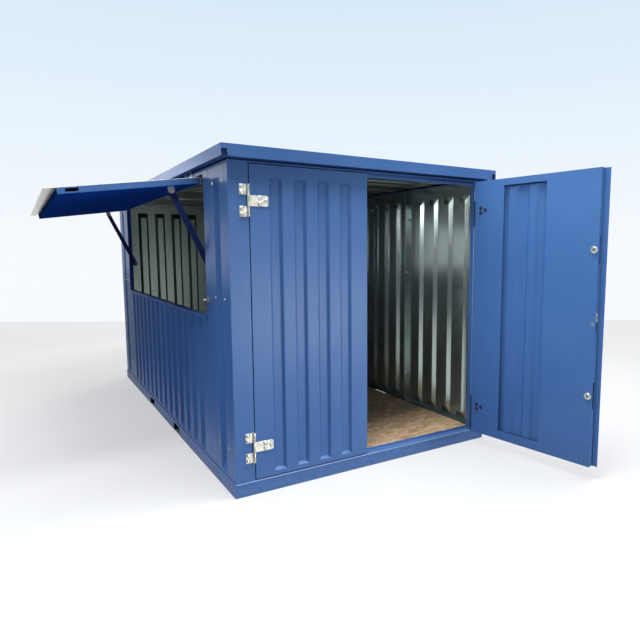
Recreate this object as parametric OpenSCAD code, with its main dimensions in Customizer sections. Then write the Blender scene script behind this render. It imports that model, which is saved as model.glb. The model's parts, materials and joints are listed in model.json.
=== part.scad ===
// Flat pack kiosk: a hut of folded and pressed sheet steel with double doors and a serving hatch.
// X runs across the door end, Y along the kiosk with the doors at -Y, and Z up from the ground.
// The origin is on the underside of the middle floor bearer.

/* [Overall] */
// Width of the base across the door end
width = 2150; // [1900:10:2500]
// Length of the base
length = 4000; // [3600:10:5000]
// Height from the ground to the top of the roof frame
height = 2200; // [2100:10:2400]
// Set-back of posts, walls and doors behind the outer face of the base
face_inset = 6; // [2:1:12]
// Thickness of the folded sheet
sheet = 3; // [2:0.5:4]

/* [Base] */
// Height of the base rails
base_h = 92; // [84:1:120]
// Depth of the base rails' flanges
rail_d = 60; // [55:1:80]
// Height of the door stop folded up from the front rail
threshold_h = 20; // [10:1:30]
// Width of a fork pocket
pocket_w = 190; // [120:5:240]
// Distance from the middle to the centre of a fork pocket
pocket_y = 490; // [400:10:600]
// Width of a floor bearer
bearer_w = 50; // [40:1:60]
// Height of a floor bearer
bearer_h = 70; // [60:1:75]
// Wall thickness of a floor bearer
bearer_t = 3; // [2:0.5:4]
// Thickness of the floor board
board_t = 18; // [12:1:20]
// Gap round the edge of the floor board
board_gap = 2; // [1:0.5:4]

/* [Posts and walls] */
// Width of the left front post's face
left_post_w = 131; // [110:1:160]
// Width of the right front post's face
right_post_w = 114; // [100:1:160]
// Depth of a post's side and jamb flanges
post_d = 60; // [50:1:70]
// Depth of a wall panel, over its edge flanges
wall_d = 40; // [36:1:50]
// Depth of a flute pressed in a wall panel
flute_d = 30; // [20:1:32]
// Width of a wall flute at its mouth
flute_mouth = 112; // [90:1:130]
// Width of a wall flute at its floor
flute_floor = 62; // [40:1:80]
// Spacing of the flutes in a wall panel
flute_pitch = 199; // [180:1:220]
// Plain band above a wall panel's flutes
flute_top = 95; // [40:1:140]
// Plain band below a wall panel's flutes
flute_foot = 20; // [12:1:80]
// Length of the slope at the end of a wall flute
flute_end = 60; // [20:1:100]
// Flat kept beside a panel's edge flange
panel_margin = 50; // [40:1:80]
// Gap between neighbouring panels
panel_gap = 2; // [1:0.5:4]
// Number of panels along the long wall
side_panels = 4; // [3:1:5]
// Number of panels across the rear wall
rear_panels = 2; // [2:1:3]

/* [Roof] */
// Height of the roof frame
fascia_h = 74; // [64:1:100]
// Overhang of the roof frame beyond the base
overhang = 43; // [30:1:60]
// Depth of the roof frame's flanges
fascia_d = 110; // [100:1:130]
// Width of the notch in a lower corner of the front fascia
notch_w = 40; // [20:1:60]
// Height of the notch in a lower corner of the front fascia
notch_h = 42; // [20:1:50]
// Number of roof panels
roof_panel_count = 4; // [3:1:5]

/* [Doors] */
// Gap round a door leaf
leaf_gap = 6; // [5:0.5:8]
// Depth of a door leaf over its folded edges
leaf_d = 40; // [32:1:45]
// Place across the front where the two leaves meet
meeting_x = -70; // [-150:5:150]
// Gap between the two leaves
meeting_gap = 8; // [6:1:10]
// Depth of the header above the leaves
header_drop = 19; // [15:1:30]
// Height of the door stop below the header
header_stop = 27; // [15:1:35]
// Depth of a flute pressed in a leaf
leaf_flute_d = 20; // [10:1:24]
// Width of a leaf flute at its mouth
leaf_flute_mouth = 88; // [70:1:100]
// Width of a leaf flute at its floor
leaf_flute_floor = 54; // [40:1:64]
// Spacing of the flutes in a leaf
leaf_flute_pitch = 170; // [150:1:185]
// Length of the slope at the end of a leaf flute
leaf_flute_end = 17; // [10:1:60]
// Number of flutes in the left leaf
left_flutes = 4; // [2:1:4]
// Number of flutes in the right leaf
right_flutes = 3; // [2:1:4]
// Plain band above the left leaf's flutes
left_flute_top = 78; // [60:1:120]
// Plain band below the left leaf's flutes
left_flute_foot = 30; // [25:1:80]
// Plain band above the right leaf's flutes
right_flute_top = 48; // [40:1:120]
// Plain band below the right leaf's flutes
right_flute_foot = 48; // [25:1:80]
// Width of the flat stile on the back of the right leaf, hinge side
hinge_stile = 275; // [40:1:300]
// Width of the flat stile on the back of the right leaf, over the lock
lock_stile = 390; // [80:1:420]
// Width of the lips folded back down the sides of the left leaf
side_lip = 40; // [25:1:60]
// Width of the lip folded back along a leaf's top
top_lip = 50; // [25:1:70]
// Width of the lip folded back along a leaf's foot
foot_lip = 68; // [25:1:80]
// Angle at which the right leaf stands open
right_open = 98; // [0:0.5:165]
// Overlap strip: part fixed on the right leaf
strip_fixed = 36; // [25:1:50]
// Overlap strip: reach beyond the right leaf's edge
strip_reach = 36; // [14:1:45]
// Overlap strip: gap in front of the left leaf
strip_clear = 6; // [5:0.5:8]

/* [Door hinges] */
// Distance of a hinge axis in front of the face it is fixed to
hinge_off = 10; // [9.5:0.5:12]
// Distance of a door's hinge axis from the jamb's edge
hinge_set = 4.5; // [3:0.5:6]
// Height of a hinge over its fixed plates
hinge_h = 198; // [150:1:240]
// Width of a fixed hinge plate beyond the barrel
plate_w = 48; // [40:1:60]
// Thickness of hinge plates and straps
plate_t = 4; // [3:0.5:5]
// Radius of a hinge barrel
barrel_r = 8.5; // [7:0.5:9]
// Radius of a hinge pin
pin_r = 5; // [4:0.5:5.5]
// Radial clearance of a pin in its knuckle
pin_clear = 0.08; // [0.05:0.01:0.1]
// Length of a strap from the hinge axis
strap_l = 134; // [100:1:170]
// Height of a strap
strap_h = 66; // [50:1:80]
// Gap between neighbouring knuckles
knuckle_gap = 1.5; // [1:0.5:3]
// Drop of the upper hinge's middle below the leaf's top
upper_hinge_drop = 223; // [140:1:400]
// Rise of the lower hinge's middle above the leaf's foot
lower_hinge_rise = 216; // [140:1:400]

/* [Lock] */
// Radius of a lock boss
boss_r = 24; // [15:1:26]
// Height of a lock boss above the stile
boss_h = 9; // [6:1:14]
// Distance of a lock boss's middle from the free edge
boss_edge = 28; // [27:1:60]
// Height of the upper lock boss
upper_boss_z = 1571; // [1400:1:1700]
// Height of the lower lock boss
lower_boss_z = 590; // [450:1:700]
// Length of the bolt slot in the free edge beside a lock boss
bolt_slot_l = 185; // [120:1:220]
// Width of the slots in the free edge
edge_slot_w = 20; // [12:1:26]
// Height of the latch plate's middle
latch_z = 1125; // [950:1:1250]
// Length of the latch plate
latch_l = 60; // [40:1:100]
// Length of the latch slot below the latch plate
latch_slot_l = 70; // [40:1:90]
// Width of the latch plate
latch_w = 24; // [16:1:28]
// Thickness of the latch plate
latch_t = 2.5; // [1.5:0.5:3]

/* [Serving hatch] */
// Width of the wall panel at each end of the hatch
end_panel_w = 315; // [250:1:600]
// Height of the sill's upper face
sill_z = 1124; // [900:1:1250]
// Reach of the sill beyond the wall's outer face
sill_lip = 8; // [4:1:15]
// Drop of the sill's folded edges
sill_drop = 26; // [15:1:40]
// Width of the posts beside the hatch
jamb_w = 120; // [90:1:150]
// Height of the head above the hatch
head_h = 40; // [36:1:60]
// Drop of the hatch hinge's axis below the head
hatch_axis_drop = 10; // [6:1:14]
// Gap at the ends of the flap
flap_gap = 8; // [6:1:12]
// Gap between the closed flap's lip and the sill
flap_sill_gap = 7; // [6:1:12]
// Width of the flap's plain lip beyond its frame
flap_lip = 75; // [50:1:100]
// Fold at the lip's edge
flap_hem = 14; // [8:1:20]
// Depth of the flap over its lining
flap_d = 43; // [36:1:50]
// Width of the flap frame's members
flap_member = 45; // [30:1:60]
// Length of the latch slot in an end of the flap frame
slot_l = 72; // [40:1:90]
// Height of the latch slot in an end of the flap frame
slot_h = 20; // [10:1:24]
// Angle at which the flap stands open
flap_open = 82.3; // [0:0.1:88]
// Number of hatch hinges
hatch_hinges = 3; // [2:1:4]
// Distance from the flap's end to the middle of the first hatch hinge
hatch_hinge_end = 330; // [250:10:500]

/* [Stays] */
// Distance of a stay from the side of the hatch opening
stay_in = 45; // [40:1:80]
// Distance of a stay's pivot along the flap from the flap's hinge
stay_reach = 200; // [150:1:260]
// Height of a stay's pivot above the flap's lining
stay_stand = 27; // [26:1:40]
// Width of a stay
stay_w = 40; // [30:1:42]
// Thickness of a stay
stay_t = 8; // [5:1:10]
// Drop of a stay's lower hole below the flap's hinge
stay_foot_drop = 655; // [450:1:750]
// Radius of a stay's pivot pin
stay_pin_r = 6; // [4:0.5:8]
// Thickness of a bracket's ears
ear_t = 5; // [4:0.5:8]
// Gap between a stay and a bracket's ears
ear_gap = 1.5; // [1:0.5:3]
// Gap between a stay's keeper and the stay, and between the keeper and the closed flap
keeper_gap = 6; // [5:0.5:8]
// Lap of a keeper's plate on the post's flange
keeper_lap = 28; // [20:1:34]
// Radius of a keeper's boss
keeper_r = 13; // [10:0.5:16]
// Height of a keeper's plate
keeper_h = 50; // [40:1:60]

/* [Catches] */
// Height of a flap catch's bolt
catch_z = 1240; // [1200:1:1400]
// Length of a catch's bolt
catch_l = 100; // [80:1:110]
// Radius of a catch's bolt
catch_r = 6; // [4:0.5:8]
// Distance of the drawn bolt's tip from the hatch opening
catch_back = 3; // [2:1:10]
// Width of a catch's guides
catch_guide = 16; // [10:1:24]
// Reach of a catch's knob beyond its bolt
knob_l = 18; // [12:1:24]

/* [Hidden] */
$fn = 64;

paint = "royalblue";
galvanised = "silver";
// Overlap of cutting shapes past the faces they cut
cut = 1;

half_w = width / 2;
half_l = length / 2;
wall_x = half_w - face_inset;
face_y = half_l - face_inset;
roof_z = height - fascia_h;
wall_h = roof_z - base_h;
left_jamb_x = left_post_w - wall_x;
right_jamb_x = wall_x - right_post_w;
doorway_w = right_jamb_x - left_jamb_x;
door_axis_y = -face_y - hinge_off;
leaf_z = base_h + leaf_gap;
leaf_h = roof_z - header_drop - leaf_gap - leaf_z;
left_leaf_w = meeting_x - left_jamb_x - leaf_gap - meeting_gap / 2;
right_leaf_w = right_jamb_x - meeting_x - leaf_gap - meeting_gap / 2;
leaf_start = hinge_set + leaf_gap;
hinge_heights = [leaf_z + lower_hinge_rise, leaf_z + leaf_h - upper_hinge_drop];

side_l = 2 * (face_y - post_d);
hatch_l = side_l - 2 * (end_panel_w + jamb_w + 2 * panel_gap);
hatch_axis_x = -wall_x - hinge_off;
hatch_axis_z = roof_z - head_h - hatch_axis_drop;
flap_l = hatch_l - 2 * flap_gap;
flap_top = 4;
flap_drop = hatch_axis_z - sill_z - flap_sill_gap;
flap_frame_drop = flap_drop - flap_lip;
flap_inner = hinge_off + flap_d;
flap_hinge_step = (flap_l - 2 * hatch_hinge_end) / (hatch_hinges - 1);

stay_y = hatch_l / 2 - stay_in;
stay_pivot = [flap_inner + stay_stand, -stay_reach];
stay_pivot_x = hatch_axis_x + stay_pivot.x * cos(flap_open) + stay_pivot.y * sin(flap_open);
stay_pivot_z = hatch_axis_z - stay_pivot.x * sin(flap_open) + stay_pivot.y * cos(flap_open);
stay_foot_x = hatch_axis_x + flap_inner + keeper_gap + keeper_r;
stay_foot_z = hatch_axis_z - stay_foot_drop;
stay_run = stay_foot_x - stay_pivot_x;
stay_fall = stay_pivot_z - stay_foot_z;
stay_l = norm([stay_run, stay_fall]);
stay_lean = atan2(stay_run, stay_fall);

// A folded sheet's section: the path is its outer face, and the thickness lies to the path's left
function run_along(p) = [for (i = [0 : len(p) - 2]) (p[i + 1] - p[i]) / norm(p[i + 1] - p[i])];
function left_of(v) = [-v.y, v.x];
function inner_path(p, t) = let (d = run_along(p), n = len(p))
    [for (i = [0 : n - 1])
        let (a = left_of(d[max(i - 1, 0)]), b = left_of(d[min(i, n - 2)])) p[i] + t * (a + b) / (1 + a * b)];
function folded_section(p, t) = let (q = inner_path(p, t))
    concat(p, [for (i = [len(q) - 1 : -1 : 0]) q[i]]);

// A panel's path: edge flanges, a plain margin and a centred row of flutes
function flute_count(l) = floor((l - 2 * panel_margin - flute_mouth) / flute_pitch) + 1;
function flute_at(c) = [
    [c - flute_mouth / 2, 0], [c - flute_floor / 2, flute_d],
    [c + flute_floor / 2, flute_d], [c + flute_mouth / 2, 0]
];
function panel_path(l) = let (n = flute_count(l), first = l / 2 - (n - 1) * flute_pitch / 2)
    concat([[0, wall_d], [0, 0]],
        [for (i = [0 : n - 1]) each flute_at(first + i * flute_pitch)],
        [[l, 0], [l, wall_d]]);
function channel_path(l, d) = [[0, d], [0, 0], [l, 0], [l, d]];

module folded(path, l) {
    linear_extrude(l) polygon(folded_section(path, sheet));
}

// A pressing with sloping flanks and ends, its mouth on y = 0 and its floor towards +Y. Grown by
// the sheet's thickness, it is the back of the same pressing.
module pressing(mouth, floor, d, h, end, grow) {
    slope = (mouth - floor) / 2;
    deep = d + grow;
    half = mouth / 2 + grow * norm([slope, d]) / d;
    over = grow * norm([end, d]) / d;
    intersection() {
        translate([0, 0, -over]) linear_extrude(h + 2 * over) polygon([
            [-half, 0], [half, 0], [half - slope * deep / d, deep], [slope * deep / d - half, deep]
        ]);
        translate([-mouth, 0, 0]) along_x(2 * mouth) polygon([
            [0, -over], [0, h + over], [deep, h + over - end * deep / d], [deep, end * deep / d - over]
        ]);
    }
}

// Section in YZ run along X, from x = 0
module along_x(l) {
    rotate([90, 0, 90]) linear_extrude(l) children();
}

// Section in XZ run along Y, centred on y = 0
module along_y(l) {
    translate([0, l / 2, 0]) rotate([90, 0, 0]) linear_extrude(l) children();
}

// Base frame

rail_path = [[rail_d, base_h], [0, base_h], [0, 0], [rail_d, 0]];

module end_rail() {
    difference() {
        translate([-half_w, -half_l, 0]) cube([width, rail_d, base_h]);
        translate([-half_w + sheet, -half_l + sheet, sheet])
            cube([width - 2 * sheet, rail_d, base_h - 2 * sheet]);
    }
}

module side_rail() {
    difference() {
        translate([-half_w, 0, 0]) along_y(length - 2 * rail_d)
            polygon(folded_section(rail_path, sheet));
        for (side = [-1, 1])
            translate([-half_w - cut, side * pocket_y - pocket_w / 2, -cut])
                cube([rail_d + 2 * cut, pocket_w, bearer_h + cut]);
    }
}

module base_front_rail() color(paint) {
    end_rail();
    translate([left_jamb_x, -half_l + rail_d - sheet, base_h]) cube([doorway_w, sheet, threshold_h]);
}

module base_rear_rail() color(paint) rotate([0, 0, 180]) end_rail();
module base_left_rail() color(paint) side_rail();
module base_right_rail() color(paint) mirror([1, 0, 0]) side_rail();

bearer_l = width - 2 * rail_d;
bearer_edge = half_l - rail_d - board_gap - bearer_w / 2;
bearer_inner = (pocket_y + pocket_w / 2 + bearer_edge) / 2;
bearer_places = [-bearer_edge, -bearer_inner, 0, bearer_inner, bearer_edge];

module floor_bearers() color(galvanised)
    for (y = bearer_places)
        translate([-bearer_l / 2, y, bearer_h / 2]) along_x(bearer_l) difference() {
            square([bearer_w, bearer_h], center = true);
            square([bearer_w - 2 * bearer_t, bearer_h - 2 * bearer_t], center = true);
        }

module floor_board() color("tan")
    translate([-half_w + rail_d + board_gap, -half_l + rail_d + board_gap, bearer_h])
        cube([width - 2 * (rail_d + board_gap), length - 2 * (rail_d + board_gap), board_t]);

// Posts and header

module front_post(w) {
    translate([-wall_x, -face_y, base_h]) folded(channel_path(w, post_d), wall_h);
}

module rear_post() {
    translate([-wall_x, face_y, base_h]) rotate([0, 0, -90])
        folded([[0, post_d], [0, 0], [post_d, 0]], wall_h);
}

module front_left_post() color(paint) front_post(left_post_w);
module front_right_post() color(paint) mirror([1, 0, 0]) front_post(right_post_w);
module rear_left_post() color(paint) rear_post();
module rear_right_post() color(paint) mirror([1, 0, 0]) rear_post();

header_z = roof_z - header_drop;
header_stop_y = leaf_d + leaf_gap;

module front_header() color(paint)
    translate([left_jamb_x, -face_y, 0]) along_x(doorway_w)
        polygon(folded_section([[0, roof_z], [0, header_z],
            [header_stop_y, header_z], [header_stop_y, header_z - header_stop]], sheet));

// Wall panels

side_panel_l = (side_l - (side_panels + 1) * panel_gap) / side_panels;
rear_l = 2 * (wall_x - post_d);
rear_panel_l = (rear_l - (rear_panels + 1) * panel_gap) / rear_panels;

module wall_flutes(l, grow) {
    n = flute_count(l);
    for (i = [0 : n - 1])
        translate([l / 2 + (i - (n - 1) / 2) * flute_pitch, 0, flute_foot])
            pressing(flute_mouth, flute_floor, flute_d, wall_h - flute_top - flute_foot, flute_end, grow);
}

// A cassette: a sheet with folded edges, stiffened by flutes pressed inwards
module wall_panel(l) {
    difference() {
        union() {
            folded(channel_path(l, wall_d), wall_h);
            wall_flutes(l, sheet);
        }
        wall_flutes(l, 0);
    }
}

module right_wall_panels() color(paint)
    for (i = [0 : side_panels - 1])
        translate([wall_x, -side_l / 2 + panel_gap + i * (side_panel_l + panel_gap), base_h])
            rotate([0, 0, 90]) wall_panel(side_panel_l);

module rear_wall_panels() color(paint)
    for (i = [0 : rear_panels - 1])
        translate([rear_l / 2 - panel_gap - i * (rear_panel_l + panel_gap), face_y, base_h])
            rotate([0, 0, 180]) wall_panel(rear_panel_l);

module left_panel(y_end, l) {
    translate([-wall_x, y_end, base_h]) rotate([0, 0, -90]) wall_panel(l);
}

module left_front_panel() color(paint)
    left_panel(-side_l / 2 + panel_gap + end_panel_w, end_panel_w);
module left_rear_panel() color(paint) left_panel(side_l / 2 - panel_gap, end_panel_w);

// The panel below the hatch is cut off under the sill
module left_sill_panel() color(paint)
    difference() {
        left_panel(hatch_l / 2 - panel_gap, hatch_l - 2 * panel_gap);
        translate([-wall_x - cut, -hatch_l / 2, sill_z - sheet]) cube([wall_d + 2 * cut, hatch_l, wall_h]);
    }

// Hatch opening

module hatch_jamb(y_end) {
    translate([-wall_x, y_end, base_h]) rotate([0, 0, -90]) folded(channel_path(jamb_w, wall_d), wall_h);
}

module hatch_front_jamb() color(paint) hatch_jamb(-hatch_l / 2);
module hatch_rear_jamb() color(paint) hatch_jamb(hatch_l / 2 + jamb_w);

module hatch_head() color(paint)
    translate([-wall_x, 0, roof_z - head_h]) along_y(hatch_l)
        polygon(folded_section([[wall_d, head_h], [0, head_h], [0, 0], [wall_d, 0]], sheet));

module hatch_sill() color(paint)
    translate([-wall_x, 0, sill_z]) along_y(hatch_l)
        polygon(folded_section([[wall_d + sheet, -sill_drop], [wall_d + sheet, 0],
            [-sill_lip, 0], [-sill_lip, -sill_drop]], sheet));

// Roof

roof_w = width + 2 * overhang;
roof_l = length + 2 * overhang;
roof_panel_w = roof_w - 2 * sheet - 2 * panel_gap;
roof_run = roof_l - 2 * fascia_d;
roof_panel_l = (roof_run - (roof_panel_count + 1) * panel_gap) / roof_panel_count;

module end_fascia() {
    difference() {
        translate([-roof_w / 2, -roof_l / 2, roof_z]) cube([roof_w, fascia_d, fascia_h]);
        translate([-roof_w / 2 + sheet, -roof_l / 2 + sheet, roof_z + sheet])
            cube([roof_w - 2 * sheet, fascia_d, fascia_h - 2 * sheet]);
    }
}

module notched_fascia() {
    difference() {
        end_fascia();
        for (side = [0, 1])
            mirror([side, 0, 0]) translate([roof_w / 2 - notch_w, -roof_l / 2 - cut, roof_z - cut])
                cube([notch_w - sheet, overhang + cut, notch_h + cut]);
    }
}

module side_fascia() {
    translate([-roof_w / 2, 0, roof_z]) along_y(roof_run)
        polygon(folded_section([[fascia_d, fascia_h], [0, fascia_h], [0, 0], [fascia_d, 0]], sheet));
}

module roof_front_fascia() color(paint) notched_fascia();
module roof_rear_fascia() color(paint) rotate([0, 0, 180]) end_fascia();
module roof_left_fascia() color(paint) side_fascia();
module roof_right_fascia() color(paint) mirror([1, 0, 0]) side_fascia();

module roof_panels() color(galvanised)
    for (i = [0 : roof_panel_count - 1])
        translate([-roof_panel_w / 2, -roof_run / 2 + panel_gap + i * (roof_panel_l + panel_gap),
            roof_z + sheet + wall_d])
            along_x(roof_panel_w) mirror([0, 1]) polygon(folded_section(panel_path(roof_panel_l), sheet));

// Hinges: the axis is local Z at the origin, and the faces they are fixed to lie at y = hinge_off

module fixed_plates() {
    knuckle_h = (hinge_h - strap_h) / 2 - knuckle_gap;
    for (side = [0, 1])
        mirror([0, 0, side]) translate([0, 0, hinge_h / 2 - knuckle_h]) {
            cylinder(r = barrel_r, h = knuckle_h);
            translate([-barrel_r - plate_w, hinge_off - plate_t, 0])
                cube([barrel_r + plate_w, plate_t, knuckle_h]);
        }
    cylinder(r = pin_r, h = hinge_h, center = true);
}

module strap() {
    neck = hinge_off - knuckle_gap;
    difference() {
        union() {
            cylinder(r = barrel_r, h = strap_h, center = true);
            translate([0, neck / 2, -strap_h / 2]) cube([leaf_start + plate_t, neck / 2, strap_h]);
            translate([leaf_start, hinge_off - plate_t, -strap_h / 2])
                cube([strap_l - leaf_start - strap_h / 4, plate_t, strap_h]);
            for (side = [-1, 1])
                translate([strap_l - strap_h / 4, hinge_off, side * strap_h / 4]) rotate([90, 0, 0])
                    cylinder(r = strap_h / 4, h = plate_t);
            translate([strap_l - strap_h / 4, hinge_off - plate_t, -strap_h / 4])
                cube([strap_h / 4, plate_t, strap_h / 2]);
        }
        cylinder(r = pin_r + pin_clear, h = strap_h + 2 * cut, center = true);
    }
}

module at_left_door() {
    translate([left_jamb_x - hinge_set, door_axis_y, 0]) children();
}

module at_right_door() {
    translate([right_jamb_x + hinge_set, door_axis_y, 0]) children();
}

module at_flap() {
    translate([hatch_axis_x, 0, hatch_axis_z]) rotate([0, flap_open, 0]) children();
}

module door_hinge_row() {
    for (z = hinge_heights)
        translate([0, 0, z]) children();
}

module hatch_hinge_row() {
    for (i = [0 : hatch_hinges - 1])
        translate([0, -flap_l / 2 + hatch_hinge_end + i * flap_hinge_step, 0]) rotate([90, 90, 0]) children();
}

module left_hinge_plates() color(galvanised) at_left_door() door_hinge_row() fixed_plates();
module right_hinge_plates() color(galvanised)
    at_right_door() door_hinge_row() mirror([1, 0, 0]) fixed_plates();
module hatch_hinge_plates() color(galvanised)
    translate([hatch_axis_x, 0, hatch_axis_z]) hatch_hinge_row() hatch_plates();
module left_hinge_straps() color(galvanised) at_left_door() door_hinge_row() strap();
module right_hinge_straps() color(galvanised)
    at_right_door() rotate([0, 0, right_open]) door_hinge_row() mirror([1, 0, 0]) strap();
module flap_hinge_straps() color(galvanised) at_flap() hatch_hinge_row() strap();

// The hatch hinge's plates are cut off below the roof frame
module hatch_plates() {
    difference() {
        fixed_plates();
        translate([-head_h - hatch_axis_drop - hinge_h, 0, -hinge_h / 2 - cut])
            cube([hinge_h, 2 * hinge_off, hinge_h + 2 * cut]);
    }
}

// Door leaves, with x from the hinge axis, y from the axis line and z from the ground

module leaf_flutes(flutes, first, z, h, grow) {
    for (i = [0 : flutes - 1])
        translate([first + i * leaf_flute_pitch, hinge_off, z])
            pressing(leaf_flute_mouth, leaf_flute_floor, leaf_flute_d, h, leaf_flute_end, grow);
}

// A leaf folded to a box, its back open between a stile on the hinge side and one on the free side
module leaf(w, flutes, top_band, foot_band, stiles) {
    press_h = leaf_h - top_band - foot_band;
    first = leaf_start + w / 2 - (flutes - 1) * leaf_flute_pitch / 2;
    difference() {
        union() {
            difference() {
                translate([leaf_start, hinge_off, leaf_z]) cube([w, leaf_d, leaf_h]);
                translate([leaf_start + sheet, hinge_off + sheet, leaf_z + sheet])
                    cube([w - 2 * sheet, leaf_d - 2 * sheet, leaf_h - 2 * sheet]);
                translate([leaf_start + stiles[0], hinge_off + leaf_d / 2, leaf_z + foot_lip])
                    cube([w - stiles[0] - stiles[1], leaf_d, leaf_h - foot_lip - top_lip]);
            }
            leaf_flutes(flutes, first, leaf_z + foot_band, press_h, sheet);
        }
        leaf_flutes(flutes, first, leaf_z + foot_band, press_h, 0);
    }
}

module left_door_leaf() color(paint)
    at_left_door()
        leaf(left_leaf_w, left_flutes, left_flute_top, left_flute_foot, [side_lip, side_lip]);

module on_right_leaf() {
    at_right_door() rotate([0, 0, right_open]) mirror([1, 0, 0]) children();
}

right_edge = leaf_start + right_leaf_w;
// Middle height and length of each slot in the right leaf's free edge
edge_slots = [
    [lower_boss_z, bolt_slot_l], [upper_boss_z, bolt_slot_l],
    [latch_z - (latch_l + latch_slot_l) / 2 - edge_slot_w / 4, latch_slot_l]
];

module right_door_leaf() color(paint)
    on_right_leaf() difference() {
        leaf(right_leaf_w, right_flutes, right_flute_top, right_flute_foot, [hinge_stile, lock_stile]);
        for (slot = edge_slots)
            translate([right_edge - sheet - cut, hinge_off + leaf_d / 2, slot[0]])
                translate([0, -edge_slot_w / 2, -slot[1] / 2]) cube([sheet + 2 * cut, edge_slot_w, slot[1]]);
    }

module meeting_strip() color(paint)
    on_right_leaf() translate([right_edge, hinge_off, leaf_z]) linear_extrude(leaf_h)
        polygon(folded_section([[strip_reach, -strip_clear], [-strip_clear, -strip_clear],
            [-2 * strip_clear, 0], [-strip_fixed, 0]], sheet));

module lock_bosses() color(galvanised)
    on_right_leaf() for (z = [lower_boss_z, upper_boss_z])
        translate([right_edge - boss_edge, hinge_off + leaf_d, z]) rotate([-90, 0, 0])
            cylinder(r = boss_r, h = boss_h);

module latch_plate() color(galvanised)
    on_right_leaf() translate([right_edge, hinge_off + leaf_d / 2 - latch_w / 2, latch_z - latch_l / 2])
        cube([latch_t, latch_w, latch_l]);

// Hatch flap, with x inwards from the hinge axis and z down to -flap_drop when closed

module flap_skin() color(paint)
    at_flap() along_y(flap_l) polygon(folded_section([[hinge_off + flap_d, -flap_top],
        [hinge_off, -flap_top], [hinge_off, -flap_drop], [hinge_off + flap_hem, -flap_drop]], sheet));

frame_d = flap_d - 2 * sheet;
frame_h = flap_frame_drop - flap_top - sheet;

module flap_frame() color(paint)
    at_flap() translate([hinge_off + sheet, -flap_l / 2, -flap_frame_drop]) difference() {
        cube([frame_d, flap_l, frame_h]);
        translate([-cut, flap_member, flap_member])
            cube([frame_d + 2 * cut, flap_l - 2 * flap_member, frame_h - 2 * flap_member]);
        translate([sheet, sheet, sheet])
            cube([frame_d - 2 * sheet, flap_l - 2 * sheet, frame_h - 2 * sheet]);
        for (end = [0, 1])
            translate([(frame_d - slot_h) / 2, end * flap_l - flap_member / 2, flap_member])
                cube([slot_h, flap_member, slot_l]);
    }

module flap_lining() color(paint)
    at_flap() translate([flap_inner - sheet, -flap_l / 2, -flap_frame_drop])
        cube([sheet, flap_l, frame_h]);

// Stays

module at_stays() {
    for (side = [-1, 1])
        translate([0, side * stay_y, 0]) children();
}

module stay_brackets() color(galvanised)
    at_flap() at_stays() {
        span = stay_t + 2 * ear_gap + 2 * ear_t;
        translate([flap_inner, -span / 2, -stay_reach - stay_w / 2]) cube([ear_t, span, stay_w]);
        for (side = [0, 1])
            mirror([0, side, 0]) translate([0, stay_t / 2 + ear_gap, 0]) {
                translate([flap_inner, 0, -stay_reach - stay_w / 2]) cube([stay_stand, ear_t, stay_w]);
                translate([flap_inner + stay_stand, ear_t, -stay_reach]) rotate([90, 0, 0])
                    cylinder(r = stay_w / 2, h = ear_t);
            }
        translate([flap_inner + stay_stand, 0, -stay_reach]) rotate([90, 0, 0])
            cylinder(r = stay_pin_r, h = span + 2 * ear_t, center = true);
    }

module stay() {
    translate([stay_pivot_x, 0, stay_pivot_z]) rotate([0, -stay_lean, 0]) difference() {
        union() {
            translate([-stay_w / 2, -stay_t / 2, -stay_l]) cube([stay_w, stay_t, stay_l]);
            for (z = [-stay_l, 0])
                translate([0, 0, z]) rotate([90, 0, 0]) cylinder(r = stay_w / 2, h = stay_t, center = true);
        }
        for (z = [-stay_l, 0])
            translate([0, 0, z]) rotate([90, 0, 0])
                cylinder(r = stay_pin_r + pin_clear, h = stay_t + 2 * cut, center = true);
    }
}

module front_stay() color(paint) translate([0, -stay_y, 0]) stay();
module rear_stay() color(paint) translate([0, stay_y, 0]) stay();

// A plate on the back of the post's flange, reaching in past the closed flap, with a bored boss
module keeper() {
    boss_l = sheet + stay_in - stay_t / 2 - keeper_gap;
    plate_x = -wall_x + wall_d - keeper_lap;
    translate([0, -sheet, stay_foot_z]) difference() {
        union() {
            translate([plate_x, -ear_t, -keeper_h / 2]) cube([stay_foot_x - plate_x, ear_t, keeper_h]);
            translate([stay_foot_x, 0, 0]) rotate([90, 0, 0]) cylinder(r = keeper_h / 2, h = ear_t);
            translate([stay_foot_x, 0, 0]) rotate([-90, 0, 0]) cylinder(r = keeper_r, h = boss_l);
        }
        translate([stay_foot_x, -ear_t - cut, 0]) rotate([-90, 0, 0])
            cylinder(r = stay_pin_r + pin_clear, h = ear_t + boss_l + 2 * cut);
    }
}

module stay_keepers() color(paint) {
    translate([0, -hatch_l / 2, 0]) keeper();
    mirror([0, 1, 0]) translate([0, -hatch_l / 2, 0]) keeper();
}

// Barrel bolts on the posts beside the hatch, drawn back from the flap
module barrel_bolt() {
    rod_x = plate_t + 2 * catch_r;
    guide_h = 2 * (catch_r + sheet);
    plate_l = catch_l - catch_guide;
    translate([-wall_x, -hatch_l / 2 - catch_back, catch_z]) {
        translate([-plate_t, -catch_l + catch_guide / 2, -guide_h]) cube([plate_t, plate_l, 2 * guide_h]);
        for (y = [-catch_guide / 2, -catch_l + catch_guide / 2])
            translate([-rod_x - catch_r - sheet, y - (y + catch_l / 2 > 0 ? catch_guide : 0), -guide_h / 2])
                cube([rod_x + catch_r, catch_guide, guide_h]);
        translate([-rod_x, 0, 0]) rotate([90, 0, 0]) cylinder(r = catch_r, h = catch_l);
        translate([-rod_x, -catch_l / 2, 0]) rotate([0, -90, 0])
            cylinder(r = catch_r - 1, h = catch_r + knob_l);
    }
}

module hatch_catches() color(galvanised) {
    barrel_bolt();
    mirror([0, 1, 0]) barrel_bolt();
}

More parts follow.
